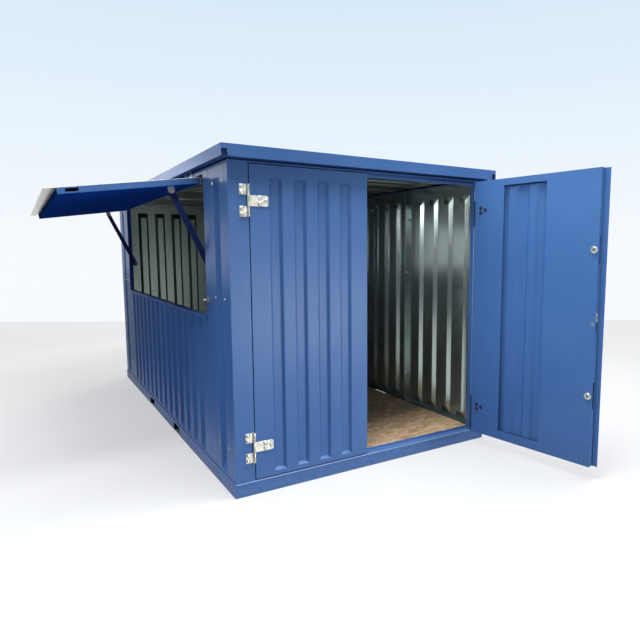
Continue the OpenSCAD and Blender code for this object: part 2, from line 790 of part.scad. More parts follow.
base_front_rail();
base_rear_rail();
base_left_rail();
base_right_rail();
floor_bearers();
floor_board();
front_left_post();
front_right_post();
rear_left_post();
rear_right_post();
front_header();
right_wall_panels();
rear_wall_panels();
left_front_panel();
left_rear_panel();
left_sill_panel();
hatch_front_jamb();
hatch_rear_jamb();
hatch_head();
hatch_sill();
roof_front_fascia();
roof_rear_fascia();
roof_left_fascia();
roof_right_fascia();
roof_panels();
left_hinge_plates();
right_hinge_plates();
hatch_hinge_plates();
stay_keepers();
hatch_catches();
left_door_leaf();
left_hinge_straps();
right_door_leaf();
right_hinge_straps();
meeting_strip();
lock_bosses();
latch_plate();
flap_skin();
flap_frame();
flap_lining();
flap_hinge_straps();
stay_brackets();
front_stay();
rear_stay();
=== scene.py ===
import json
import math
import bpy
import bmesh
from mathutils import Matrix, Vector


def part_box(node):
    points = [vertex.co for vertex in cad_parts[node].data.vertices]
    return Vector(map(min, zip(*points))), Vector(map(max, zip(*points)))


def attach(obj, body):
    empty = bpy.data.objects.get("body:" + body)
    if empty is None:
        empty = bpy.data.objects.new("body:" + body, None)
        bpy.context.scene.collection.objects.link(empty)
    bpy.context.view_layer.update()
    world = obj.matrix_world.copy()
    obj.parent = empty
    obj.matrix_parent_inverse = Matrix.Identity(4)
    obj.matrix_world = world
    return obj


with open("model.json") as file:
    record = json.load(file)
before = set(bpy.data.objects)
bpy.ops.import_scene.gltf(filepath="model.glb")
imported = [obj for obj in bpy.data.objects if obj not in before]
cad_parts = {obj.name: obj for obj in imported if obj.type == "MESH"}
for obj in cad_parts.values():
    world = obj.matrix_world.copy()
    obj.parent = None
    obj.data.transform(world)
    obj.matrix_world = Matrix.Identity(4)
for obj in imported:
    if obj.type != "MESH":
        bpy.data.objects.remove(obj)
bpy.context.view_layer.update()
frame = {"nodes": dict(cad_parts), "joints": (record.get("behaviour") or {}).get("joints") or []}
nodes = frame["nodes"]
joints = {joint["name"]: joint for joint in frame["joints"]}
print("kiosk frame loaded,", len(nodes), "nodes")


# shader helpers for the finishes

def addNode(tree, kind, inputs=None, **settings):
    node = tree.nodes.new(kind)
    for name, value in settings.items():
        setattr(node, name, value)
    for name, value in (inputs or {}).items():
        node.inputs[name].default_value = value
    return node


def newFinish(name):
    finish = bpy.data.materials.new(name)
    finish.use_nodes = True
    tree = finish.node_tree
    place = addNode(tree, "ShaderNodeTexCoord")
    return finish, tree, tree.nodes["Principled BSDF"], place.outputs["Object"]


def feed(tree, value, socket):
    if isinstance(value, (int, float, tuple)):
        socket.default_value = value
    else:
        tree.links.new(value, socket)


def dressShader(tree, shader, inputs):
    for name, value in inputs.items():
        feed(tree, value, shader.inputs[name])


def stretched(tree, place, stretch, turn=(0, 0, 0)):
    spread = addNode(tree, "ShaderNodeMapping", {"Scale": stretch, "Rotation": turn})
    tree.links.new(place, spread.inputs["Vector"])
    return spread.outputs["Vector"]


def noiseAt(tree, place, scale, stretch=(1, 1, 1), detail=4.0, rough=0.55):
    noise = addNode(tree, "ShaderNodeTexNoise", {"Scale": scale, "Detail": detail, "Roughness": rough})
    tree.links.new(stretched(tree, place, stretch), noise.inputs["Vector"])
    return noise.outputs["Fac"]


def cellsAt(tree, place, scale, stretch=(1, 1, 1), turn=(0, 0, 0), feature="F1"):
    cells = addNode(tree, "ShaderNodeTexVoronoi", {"Scale": scale}, feature=feature)
    tree.links.new(stretched(tree, place, stretch, turn), cells.inputs["Vector"])
    return cells.outputs


def coloursOf(tree, colour):
    parts = addNode(tree, "ShaderNodeSeparateColor")
    tree.links.new(colour, parts.inputs["Color"])
    return parts.outputs


def axesOf(tree, place):
    axes = addNode(tree, "ShaderNodeSeparateXYZ")
    tree.links.new(place, axes.inputs["Vector"])
    return axes.outputs


def rangeOf(tree, value, span, to=(0.0, 1.0)):
    limits = {"From Min": span[0], "From Max": span[1], "To Min": to[0], "To Max": to[1]}
    scale = addNode(tree, "ShaderNodeMapRange", limits)
    tree.links.new(value, scale.inputs["Value"])
    return scale.outputs["Result"]


def mathOf(tree, operation, a, b=0.0):
    step = addNode(tree, "ShaderNodeMath", operation=operation)
    feed(tree, a, step.inputs[0])
    feed(tree, b, step.inputs[1])
    return step.outputs["Value"]


def mixTones(tree, share, a, b):
    mix = addNode(tree, "ShaderNodeMix", data_type="RGBA")
    for value, slot in ((share, 0), (a, 6), (b, 7)):  # the colour mix's factor, A and B
        feed(tree, value, mix.inputs[slot])
    return mix.outputs[2]


def bumpOf(tree, shader, layers):
    last = None
    for height, (strength, distance) in layers:
        bump = addNode(tree, "ShaderNodeBump", {"Strength": strength, "Distance": distance})
        tree.links.new(height, bump.inputs["Height"])
        if last is not None:
            tree.links.new(last, bump.inputs["Normal"])
        last = bump.outputs["Normal"]
    tree.links.new(last, shader.inputs["Normal"])


# finishes; a span is the part of a noise that is used, a bump is strength and distance

midSpan = (0.3, 0.7)
bluePaint = {
    "deep": (0.045, 0.120, 0.310, 1), "faded": (0.061, 0.148, 0.352, 1),
    "cloudScale": 0.9, "cloudSpan": (0.35, 0.68),
    "runScale": 9.0, "runStretch": (1, 1, 0.06), "runSpan": (0.45, 0.75), "runShare": 0.30,
    "dust": (0.17, 0.21, 0.30, 1), "dustTop": 0.42, "dustSpan": (0.42, 0.74),
    "dustShare": 0.55, "dustRough": 0.5,
    "speckScale": 38.0, "rough": (0.30, 0.40), "sheen": 0.20,
    "waveScale": 2.1, "waveStretch": (1, 1, 0.55), "waveBump": (0.45, 0.014),
    "peelScale": 420.0, "peelBump": (0.06, 0.0006),
}


def makeBluePaint():
    paint = bluePaint
    finish, tree, shader, place = newFinish("bluePaint")
    clouds = noiseAt(tree, place, paint["cloudScale"], detail=5)
    runs = noiseAt(tree, place, paint["runScale"], paint["runStretch"], detail=3)
    specks = noiseAt(tree, place, paint["speckScale"], detail=6, rough=0.7)
    tone = mixTones(tree, rangeOf(tree, clouds, paint["cloudSpan"]), paint["deep"], paint["faded"])
    streaks = rangeOf(tree, runs, paint["runSpan"], (0, paint["runShare"]))
    tone = mixTones(tree, streaks, tone, paint["faded"])
    low = rangeOf(tree, axesOf(tree, place)["Z"], (0.0, paint["dustTop"]), (1, 0))
    splash = rangeOf(tree, specks, paint["dustSpan"], (0, paint["dustShare"]))
    splash = mathOf(tree, "MULTIPLY", mathOf(tree, "MULTIPLY", low, low), splash)
    tone = mixTones(tree, splash, tone, paint["dust"])
    gloss = rangeOf(tree, specks, midSpan, paint["rough"])
    gloss = mathOf(tree, "ADD", gloss, mathOf(tree, "MULTIPLY", splash, paint["dustRough"]))
    dressShader(tree, shader, {"Base Color": tone, "Roughness": gloss, "Specular IOR Level": paint["sheen"]})
    waves = noiseAt(tree, place, paint["waveScale"], paint["waveStretch"], detail=1.5)
    peel = noiseAt(tree, place, paint["peelScale"], detail=2)
    bumpOf(tree, shader, [(waves, paint["waveBump"]), (peel, paint["peelBump"])])
    return finish


bareSheet = {
    "dark": (0.27, 0.325, 0.305, 1), "pale": (0.43, 0.495, 0.475, 1), "rough": (0.15, 0.22), "metal": 0.85,
    "cells": 52, "cellShare": 0.05, "cloudScale": 2.2, "cloudStretch": (1, 1, 0.4),
    "waveScale": 2.4, "waveStretch": (1, 1, 0.5), "waveBump": (0.05, 0.012),
}


def makeBareSheet(name, **changes):
    sheet = {**bareSheet, **changes}
    finish, tree, shader, place = newFinish(name)
    spangle = coloursOf(tree, cellsAt(tree, place, sheet["cells"])["Color"])["Red"]
    clouds = noiseAt(tree, place, sheet["cloudScale"], sheet["cloudStretch"], detail=5)
    share = mathOf(tree, "MULTIPLY", spangle, sheet["cellShare"])
    share = mathOf(tree, "ADD", share, rangeOf(tree, clouds, midSpan, (0, 1 - sheet["cellShare"])))
    tone = mixTones(tree, share, sheet["dark"], sheet["pale"])
    gloss = rangeOf(tree, clouds, midSpan, sheet["rough"])
    dressShader(tree, shader, {"Base Color": tone, "Roughness": gloss, "Metallic": sheet["metal"]})
    waves = noiseAt(tree, place, sheet["waveScale"], sheet["waveStretch"], detail=1.5)
    bumpOf(tree, shader, [(waves, sheet["waveBump"])])
    return finish


platedZinc = {
    "dark": (0.40, 0.39, 0.33, 1), "pale": (0.70, 0.69, 0.62, 1), "rough": (0.24, 0.42), "metal": 0.85,
    "cloudScale": 30.0, "cloudSpan": (0.35, 0.7),
    "brushScale": 160.0, "brushStretch": (1, 1, 0.12), "brushBump": (0.12, 0.0004),
}


def makePlatedZinc(name, **changes):
    zinc = {**platedZinc, **changes}
    finish, tree, shader, place = newFinish(name)
    clouds = noiseAt(tree, place, zinc["cloudScale"], detail=5)
    brushed = noiseAt(tree, place, zinc["brushScale"], zinc["brushStretch"], detail=3)
    tone = mixTones(tree, rangeOf(tree, clouds, zinc["cloudSpan"]), zinc["pale"], zinc["dark"])
    gloss = rangeOf(tree, brushed, midSpan, zinc["rough"])
    dressShader(tree, shader, {"Base Color": tone, "Roughness": gloss, "Metallic": zinc["metal"]})
    bumpOf(tree, shader, [(brushed, zinc["brushBump"])])
    return finish


strandBoard = {
    "tones": ((0.30, 0.185, 0.10, 1), (0.47, 0.32, 0.185, 1), (0.62, 0.46, 0.29, 1)),
    "gapTone": (0.12, 0.07, 0.035, 1), "gapShare": 0.55, "gapWidth": 0.09,
    "patchScale": 11.0, "strand": (9.0, 46.0, 9.0), "turns": (12, 71, 128, 160), "strandBump": (0.25, 0.002),
    "grainScale": 60.0, "grainStretch": (1, 6, 1), "grainSpan": (0.35, 0.7), "grainShare": 0.35,
    "grainBump": (0.12, 0.001), "rough": 0.72,
}


def makeStrandBoard():
    board = strandBoard
    dark, middle, pale = board["tones"]
    finish, tree, shader, place = newFinish("strandBoard")
    patch = coloursOf(tree, cellsAt(tree, place, board["patchScale"])["Color"])["Green"]
    shade, edge = None, None
    for i, angle in enumerate(board["turns"]):  # each patch of the board shows strands of one direction
        turn = (0, 0, math.radians(angle))
        chip = coloursOf(tree, cellsAt(tree, place, 1.0, board["strand"], turn)["Color"])["Red"]
        rim = cellsAt(tree, place, 1.0, board["strand"], turn, "DISTANCE_TO_EDGE")["Distance"]
        gap = rangeOf(tree, rim, (0.0, board["gapWidth"]))
        if shade is None:
            shade, edge = chip, gap
            continue
        gate = mathOf(tree, "GREATER_THAN", patch, i / len(board["turns"]))
        shade = mixTones(tree, gate, shade, chip)
        edge = mixTones(tree, gate, edge, gap)
    ramp = addNode(tree, "ShaderNodeValToRGB")
    tree.links.new(shade, ramp.inputs["Fac"])
    stops = ramp.color_ramp.elements
    stops[0].color, stops[1].color = dark, pale
    stops.new(0.5).color = middle
    grain = noiseAt(tree, place, board["grainScale"], board["grainStretch"], detail=5)
    streaks = rangeOf(tree, grain, board["grainSpan"], (0, board["grainShare"]))
    tone = mixTones(tree, streaks, ramp.outputs["Color"], dark)
    tone = mixTones(tree, edge, mixTones(tree, board["gapShare"], tone, board["gapTone"]), tone)
    dressShader(tree, shader, {"Base Color": tone, "Roughness": board["rough"]})
    bumpOf(tree, shader, [(shade, board["strandBump"]), (grain, board["grainBump"])])
    return finish


# a matte blue; its own colours serve the flap lining: partly a darker lining paint and partly painted shade
# under the open flap
matteBlue = {
    "deep": (0.008, 0.050, 0.290, 1), "paler": (0.011, 0.062, 0.340, 1), "rough": (0.62, 0.78), "sheen": 0.0,
    "cloudScale": 1.4, "cloudStretch": (1, 0.4, 1), "weaveScale": 240.0, "weaveBump": (0.08, 0.0006),
}


def makeMatteBlue(name, **changes):
    paint = {**matteBlue, **changes}
    finish, tree, shader, place = newFinish(name)
    clouds = noiseAt(tree, place, paint["cloudScale"], paint["cloudStretch"], detail=5)
    weave = noiseAt(tree, place, paint["weaveScale"], detail=3)
    tone = mixTones(tree, clouds, paint["deep"], paint["paler"])
    gloss = rangeOf(tree, weave, midSpan, paint["rough"])
    dressShader(tree, shader, {"Base Color": tone, "Roughness": gloss, "Specular IOR Level": paint["sheen"]})
    bumpOf(tree, shader, [(weave, paint["weaveBump"])])
    return finish


# painted shade: the near-black finish of sockets, key holes, nuts and dark slot plates, standing in for
# shade in hollows and gaps; the reflection cards use it too
darkShade = {
    "tone": (0.004, 0.008, 0.022, 1), "paler": (0.010, 0.018, 0.040, 1),
    "mottleScale": 60.0, "rough": (0.6, 0.85),
}


def makeDarkShade():
    finish, tree, shader, place = newFinish("darkShade")
    mottle = noiseAt(tree, place, darkShade["mottleScale"])
    tone = mixTones(tree, mottle, darkShade["tone"], darkShade["paler"])
    gloss = rangeOf(tree, mottle, midSpan, darkShade["rough"])
    dressShader(tree, shader, {"Base Color": tone, "Roughness": gloss})
    return finish


finishes = {
    "blue": makeBluePaint(),
    "bare": makeBareSheet("galvanisedSheet"),
    # painted light: the flap lip's underside is cream, made paler still to make up for the shade it lies in
    "lip": makeBareSheet(
        "paleLipPaintedLight", dark=(0.80, 0.68, 0.36, 1), pale=(0.98, 0.91, 0.66, 1), metal=0.0),
    # painted shade: a darker copy of the galvanised sheet for inner faces that lie in shade
    "shadedBare": makeBareSheet(
        "shadedSheet", dark=(0.10, 0.128, 0.119, 1), pale=(0.20, 0.247, 0.233, 1), rough=(0.31, 0.39)),
    "zinc": makePlatedZinc("platedZinc"),
    # painted shade: a dark copy of the plated zinc for the flap's hinge parts, which sit in shade
    "shadedZinc": makePlatedZinc("shadedZinc", dark=(0.07, 0.08, 0.09, 1), pale=(0.16, 0.17, 0.18, 1)),
    # painted shade: a half-dark, bluish copy of the plated zinc for the stay brackets under the flap
    "halfShadedZinc": makePlatedZinc("halfShadedZinc", dark=(0.16, 0.18, 0.23, 1), pale=(0.30, 0.32, 0.37, 1)),
    # painted shade: a dark matte copy of the blue paint for faces that lie in shade
    "navy": makeMatteBlue("paintedShadeFrame", deep=(0.012, 0.036, 0.150, 1), paler=(0.016, 0.044, 0.178, 1)),
    # painted shade: a near-black navy for the stays under the open flap, also used for the notch and
    # roof-edge shade plates
    "stay": makeMatteBlue("stayPaintedShade", deep=(0.012, 0.022, 0.085, 1), paler=(0.018, 0.030, 0.105, 1)),
    # painted highlight: a pale matte blue for the edge highlight beads
    "edge": makeMatteBlue("paleEdgeHighlight", deep=(0.20, 0.28, 0.46, 1), paler=(0.28, 0.36, 0.54, 1)),
    "board": makeStrandBoard(),
    "liner": makeMatteBlue("linerAndPaintedShade"),
    "gap": makeDarkShade(),
}
print("finishes made:", ", ".join(finishes))


# finishes on the CAD nodes, blue where nothing else is said

plainNodes = {
    "zinc": (
        "left_hinge_plates", "right_hinge_plates", "left_hinge_straps", "right_hinge_straps",
        "hatch_catches", "lock_bosses", "latch_plate",
    ),
    # the flap's hinge parts take the shaded zinc copy: painted shade
    "shadedZinc": ("hatch_hinge_plates", "flap_hinge_straps"),
    # the stay brackets take the half-shaded zinc copy: painted shade
    "halfShadedZinc": ("stay_brackets",),
    "board": ("floor_board",),
    "bare": ("floor_bearers",),
    # the flap lining, darker partly as its own paint and partly as painted shade
    "liner": ("flap_lining",),
    # the stays take the dark stay finish: painted shade
    "stay": ("front_stay", "rear_stay"),
}
flapOpen = math.radians(-joints["hatch_hinge"]["range_deg"][0])
flapUp = (-math.cos(flapOpen), 0, math.sin(flapOpen))
twoSided = {  # blue where a face looks along the way by more than the limit, and the other finish elsewhere
    "right_wall_panels": ("bare", (1, 0, 0), 0.05),
    # the rear wall's inside takes the shaded sheet copy: painted shade
    "rear_wall_panels": ("shadedBare", (0, 1, 0), 0.05),
    "left_front_panel": ("bare", (-1, 0, 0), 0.05),
    "left_rear_panel": ("bare", (-1, 0, 0), 0.05),
    "left_sill_panel": ("bare", (-1, 0, 0), 0.05),
    "roof_panels": ("bare", (0, 0, 1), 0.05),
    # the inner faces of the base rails and roof fascias take the shaded sheet copy: painted shade
    "base_left_rail": ("shadedBare", (-1, 0, 0), -0.5),
    "base_right_rail": ("shadedBare", (0.7, 0, -0.7), -0.5),
    "base_rear_rail": ("shadedBare", (0, 0.7, -0.7), -0.5),
    "roof_left_fascia": ("shadedBare", (-1, 0, 0), -0.5),
    "roof_right_fascia": ("shadedBare", (1, 0, 0), -0.5),
    "roof_rear_fascia": ("shadedBare", (0, 1, 0), -0.5),
    "roof_front_fascia": ("shadedBare", (0, -1, 0), -0.5),
    # the flap frame is dark navy except on its front end, and so is the hatch's rear jamb on its face
    # towards the front: painted shade
    "flap_frame": ("navy", (0, -1, 0), 0.5),
    "hatch_rear_jamb": ("navy", (0, 1, 0), -0.5),
    # faces of the flap skin not facing its top take the pale lip finish: cream, and partly painted light
    "flap_skin": ("lip", flapUp, 0.05),
}
foldBevel = {"weld": 0.00002, "flat": 0.5, "width": 0.0011, "segments": 2, "angle": 25}


def dressNode(name, finish):
    mesh = nodes[name].data
    mesh.materials.clear()
    mesh.materials.append(finishes[finish])
    if name not in twoSided:
        return
    other, way, limit = twoSided[name]
    mesh.materials.append(finishes[other])
    for face in mesh.polygons:
        face.material_index = 0 if face.normal.dot(Vector(way)) > limit else 1


def softenFolds(name):
    piece = nodes[name]  # loose triangles, so they are joined and made flat first
    piece.modifiers.new("join", "WELD").merge_threshold = foldBevel["weld"]
    flat = piece.modifiers.new("flat", "DECIMATE")
    flat.decimate_type = "DISSOLVE"
    flat.angle_limit = math.radians(foldBevel["flat"])
    fold = piece.modifiers.new("fold", "BEVEL")
    fold.width = foldBevel["width"]
    fold.segments = foldBevel["segments"]
    fold.limit_method = "ANGLE"
    fold.angle_limit = math.radians(foldBevel["angle"])
    fold.harden_normals = True


finishOf = {name: finish for finish, names in plainNodes.items() for name in names}
for name in nodes:
    dressNode(name, finishOf.get(name, "blue"))
    softenFolds(name)
print("CAD nodes dressed")


# pieces: each is built in place, rides a body and takes a finish

seamGap = 0.00001  # points closer than this are one


def meshObject(bm, name, finish):
    mesh = bpy.data.meshes.new(name)
    bm.to_mesh(mesh)
    bm.free()
    mesh.materials.append(finish)
    piece = bpy.data.objects.new(name, mesh)
    bpy.context.scene.collection.objects.link(piece)
    return piece


def keepPiece(bm, name, body, finish, smooth=False):
    bmesh.ops.remove_doubles(bm, verts=bm.verts, dist=seamGap)
    bmesh.ops.recalc_face_normals(bm, faces=bm.faces)
    piece = meshObject(bm, name, finishes[finish])
    for face in piece.data.polygons:
        face.use_smooth = smooth
    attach(piece, body)


def placeOn(point, way):
    return Matrix.Translation(point) @ Vector(way).to_track_quat("Z", "Y").to_matrix().to_4x4()


def joinInto(bm, part, matrix):
    bmesh.ops.transform(part, verts=part.verts, matrix=matrix)
    scrap = bpy.data.meshes.new("scrap")
    part.to_mesh(scrap)
    part.free()
    bm.from_mesh(scrap)
    bpy.data.meshes.remove(scrap)


def spinProfile(bm, profile, matrix, steps):
    part = bmesh.new()
    ring = [part.verts.new((out, 0.0, up)) for out, up in profile]
    edges = [part.edges.new(pair) for pair in zip(ring, ring[1:])]
    bmesh.ops.spin(
        part, geom=ring + edges, cent=(0, 0, 0), axis=(0, 0, 1), angle=math.tau, steps=steps, use_merge=True)
    joinInto(bm, part, matrix)


def raiseCorners(bm, raised, height):
    corners = [item for item in raised if isinstance(item, bmesh.types.BMVert)]
    bmesh.ops.translate(bm, verts=corners, vec=(0, 0, height))


def raiseFaces(bm, height):
    raised = bmesh.ops.extrude_face_region(bm, geom=bm.faces[:])["geom"]
    raiseCorners(bm, raised, height)
    return raised


def extrudeRound(bm, matrix, sides, radius, height, bevel):
    part = bmesh.new()
    bmesh.ops.create_circle(part, cap_ends=True, segments=sides, radius=radius)
    rim = [item for item in raiseFaces(part, height) if isinstance(item, bmesh.types.BMEdge)]
    bmesh.ops.bevel(part, geom=rim, offset=bevel, segments=2, profile=0.5, affect="EDGES", material=-1)
    joinInto(bm, part, matrix)


# bolts and nuts of the door hinges; out, depth and up are measured from a leaf's own hinge pin

hinge = {
    "strapHalf": 0.033, "strapBolts": ((0.076, 0.018), (0.076, -0.018), (0.118, 0.002)),
    "plateOut": 0.041, "plateRise": 0.0668, "plateStep": 0.019,
    "face": 0.006, "leafSkin": 0.013, "leafBack": 0.050,
}
domeBolt = {
    "radius": 0.0115, "rise": 0.006, "crown": ((0, 1), (0.45, 0.93), (0.8, 0.68), (1, 0.22), (1, 0)),
    "washer": 0.0150, "washerRise": 0.0016, "rim": ((0.96, 1), (1, 0.6)), "sunk": 0.0004, "steps": 16,
}
hexNut = {  # rounds are sides, radius, height and bevel, here and below
    "washer": (20, 0.0145, 0.0018, 0.0005),
    "nut": (6, 0.0105, 0.008, 0.0012),
    "boltEnd": (12, 0.005775, 0.0108, 0.0008),
}

strapLow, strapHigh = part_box("left_hinge_straps")
hingeLevels = (strapLow[2] + hinge["strapHalf"], strapHigh[2] - hinge["strapHalf"])
leftPin = Vector((*joints["left_door_hinge"]["pos_m"][:2], 0))
rightPin = Vector((*joints["right_door_hinge"]["pos_m"][:2], 0))
rightOpen = Matrix.Rotation(math.radians(-joints["right_door_hinge"]["range_deg"][0]), 4, "Z")
leftLeaf = Matrix.Translation(leftPin)
rightLeaf = Matrix.Translation(rightPin) @ rightOpen @ Matrix.Diagonal((-1, 1, 1, 1))  # mirrored


def addDomes(name, body, spots, size=1.0):
    radius, rise = domeBolt["radius"] * size, domeBolt["rise"] * size
    washer, lift = domeBolt["washer"] * size, domeBolt["washerRise"] * size
    profile = [(radius * out, lift + rise * up) for out, up in domeBolt["crown"]]
    profile += [(washer * out, lift * up) for out, up in domeBolt["rim"]]
    profile += [(washer, -domeBolt["sunk"]), (0, -domeBolt["sunk"])]
    bm = bmesh.new()
    for point, way in spots:
        spinProfile(bm, profile, placeOn(point, way), domeBolt["steps"])
    keepPiece(bm, name, body, "zinc", True)


def addNuts(name, body, spots):
    bm = bmesh.new()
    for point, way in spots:
        for layer in hexNut.values():
            extrudeRound(bm, placeOn(point, way), *layer)
    # painted shade: the hinge nuts take the near-black shade finish
    keepPiece(bm, name, body, "gap")


def leafSpots(leaf, depth, facing):
    way = leaf.to_3x3() @ Vector((0, facing, 0))
    bolts = hinge["strapBolts"]
    return [(leaf @ Vector((out, depth, level + up)), way) for level in hingeLevels for out, up in bolts]


def plateSpots():
    rises = (-hinge["plateRise"], hinge["plateRise"])
    steps = (-hinge["plateStep"], hinge["plateStep"])
    ups = [level + rise + step for level in hingeLevels for rise in rises for step in steps]
    out, face = hinge["plateOut"], hinge["face"]
    seats = (leftPin + Vector((-out, face, 0)), rightPin + Vector((out, face, 0)))
    return [(seat + Vector((0, 0, up)), (0, -1, 0)) for seat in seats for up in ups]


addDomes("hingePlateBolts", "kiosk", plateSpots())
addDomes("leftStrapBolts", "left_door", leafSpots(leftLeaf, hinge["face"], -1))
addDomes("rightStrapBolts", "right_door", leafSpots(rightLeaf, hinge["face"], -1))
addNuts("leftStrapNuts", "left_door", leafSpots(leftLeaf, hinge["leafSkin"], 1))
addNuts("rightStrapNuts", "right_door", leafSpots(rightLeaf, hinge["leafBack"], 1))
print("hinge bolts placed")


lockFace = {
    "spots": ((0.9975, 1.571), (0.9975, 0.590)), "face": 0.059,
    "ring": (0.0115, 0.0215), "rise": 0.0022, "ease": (0.001, 0.002), "lip": (0.8, 0.4),
    "sunk": 0.0002, "ringSteps": 24,
    "socket": (4, 0.0085, 0.00099, 0.0006),
    "key": (1.006, 1.078), "keyFace": 0.050, "keyPlate": (24, 0.0125, 0.003, 0.001),
    "keyHole": (14, 0.00544, 0.0036, 0.0003), "keyStem": (8, 0.0042, 0.0036, 0.0003), "stemDrop": 0.00585,
}


def lockSeat(out, depth, up):
    return placeOn(rightLeaf @ Vector((out, depth, up)), rightLeaf.to_3x3() @ Vector((0, 1, 0)))


def addLockFaces():
    inner, outer = lockFace["ring"]
    rise, sunk = lockFace["rise"], lockFace["sunk"]
    easeIn, easeOut = lockFace["ease"]
    lipIn, lipOut = (rise * share for share in lockFace["lip"])
    profile = (
        (inner, -sunk), (inner, lipIn), (inner + easeIn, rise), (outer - easeOut, rise),
        (outer, lipOut), (outer, -sunk), (inner, -sunk),
    )
    rings, sockets = bmesh.new(), bmesh.new()
    for out, up in lockFace["spots"]:
        seat = lockSeat(out, lockFace["face"], up)
        spinProfile(rings, profile, seat, lockFace["ringSteps"])
        extrudeRound(sockets, seat, *lockFace["socket"])
    out, up = lockFace["key"]
    seat = lockSeat(out, lockFace["keyFace"], up)
    extrudeRound(rings, seat, *lockFace["keyPlate"])
    extrudeRound(sockets, seat, *lockFace["keyHole"])
    seat = lockSeat(out, lockFace["keyFace"], up - lockFace["stemDrop"])
    extrudeRound(sockets, seat, *lockFace["keyStem"])
    keepPiece(rings, "lockRings", "right_door", "zinc")
    # painted shade: sockets, key hole and key stem are near-black discs standing in for hollows
    keepPiece(sockets, "lockSockets", "right_door", "gap")


addLockFaces()
print("lock faces placed")


def addPlate(bm, matrix, wide, tall, thick):
    part = bmesh.new()
    bmesh.ops.create_grid(part, x_segments=1, y_segments=1, size=0.5)
    raiseFaces(part, thick)
    joinInto(bm, part, matrix @ Matrix.Diagonal((wide, tall, 1, 1)))


# painted shade: dark plates beside the open leaf's hinges, standing in for the shaded gaps there
hingeSlotShade = {
    "out": 0.0178, "wide": 0.014, "face": 0.050, "proud": 0.0007, "spans": ((1.756, 1.950), (0.112, 0.392)),
}


def addHingeSlotShade():
    bm = bmesh.new()
    stand = Matrix.Rotation(math.radians(-90), 4, "X")
    for low, high in hingeSlotShade["spans"]:
        spot = Matrix.Translation((hingeSlotShade["out"], hingeSlotShade["face"], (low + high) / 2))
        addPlate(bm, rightLeaf @ spot @ stand, hingeSlotShade["wide"], high - low, hingeSlotShade["proud"])
    keepPiece(bm, "hingeSlotShade", "right_door", "gap")


# painted shade: dark plates in the roof's front corner notches, standing in for the shade inside them
notchShade = {"middle": (1.0965, -2.037, 2.147), "wide": 0.0366, "tall": 0.0416, "thick": 0.002}


def addNotchShades():
    bm = bmesh.new()
    x, y, z = notchShade["middle"]
    stand = Matrix.Rotation(math.radians(90), 4, "X")
    for side in (-1, 1):
        spot = Matrix.Translation((side * x, y, z))
        addPlate(bm, spot @ stand, notchShade["wide"], notchShade["tall"], notchShade["thick"])
    keepPiece(bm, "notchShades", "kiosk", "stay")


# painted highlights: pale beads along the front rail's top edge and along the open leaf's hinge side, where
# these edges catch the light
edgeHighlights = {
    "rail": (1.072, -1.998, 0.088), "railRadius": 0.004,
    "leaf": (0.0122, 0.0488), "leafRadius": 0.0024, "leafSpans": ((0.41, 1.745), (1.955, 2.03)),
    "tip": (0.7, 0.3), "steps": 12,
}


def addBead(bm, start, end, radius):
    way = Vector(end) - Vector(start)
    run = way.length
    side, tip = (radius * share for share in edgeHighlights["tip"])
    profile = ((0, 0), (side, tip), (radius, radius), (radius, run - radius), (side, run - tip), (0, run))
    spinProfile(bm, profile, placeOn(start, way), edgeHighlights["steps"])


def addEdgeHighlights():
    bm = bmesh.new()
    x, y, z = edgeHighlights["rail"]
    addBead(bm, (-x, y, z), (x, y, z), edgeHighlights["railRadius"])
    keepPiece(bm, "railEdgeHighlight", "kiosk", "edge", True)
    bm = bmesh.new()
    for span in edgeHighlights["leafSpans"]:
        low, high = (rightLeaf @ Vector((*edgeHighlights["leaf"], up)) for up in span)
        addBead(bm, low, high, edgeHighlights["leafRadius"])
    keepPiece(bm, "leafEdgeHighlight", "right_door", "edge", True)


addHingeSlotShade()
addNotchShades()
addEdgeHighlights()
print("hinge slot shades, notch shades and edge highlights placed")


# small bolts on the left wall's end panels and along the panel joints inside
panelBolts = {
    "size": 0.72, "ends": (1.70, 1.89), "endHigh": (0.30, 1.265, 2.0),
    "joints": (-0.967, 0.0, 0.967), "jointFace": 0.004, "jointHigh": (0.36, 0.86, 1.36, 1.86),
    "jointIn": 1.046, "rearIn": 1.971,
}


def addPanelBolts():
    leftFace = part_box("left_front_panel")[0][0]
    face, levels = panelBolts["jointFace"], panelBolts["jointHigh"]
    spots = []
    for y in panelBolts["ends"]:
        for z in panelBolts["endHigh"]:
            spots += [((leftFace, side * y, z), (-1, 0, 0)) for side in (-1, 1)]
    for y in panelBolts["joints"]:
        spots += [((panelBolts["jointIn"], y - face, z), (0, -1, 0)) for z in levels]
    spots += [((-face, panelBolts["rearIn"], z), (-1, 0, 0)) for z in levels]
    addDomes("panelBolts", "kiosk", spots, panelBolts["size"])


stayPin = {"round": (20, 0.0115, 0.0018, 0.0008)}


def addStayPin(name, node, side):
    pivot = joints[node + "_pivot"]["pos_m"]
    low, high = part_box(node)
    face = low[1] if side < 0 else high[1]
    bm = bmesh.new()
    extrudeRound(bm, placeOn((pivot[0], face, pivot[2]), (0, side, 0)), *stayPin["round"])
    keepPiece(bm, name, node + "_bar", "zinc")


# painted shade: a dark strip under the roof's edge, a frame just outside the posts, standing in for the
# overhang's shadow
roofShadeStrip = {"proud": 0.0022, "wall": 0.004, "tall": 0.0108, "under": 0.0002}


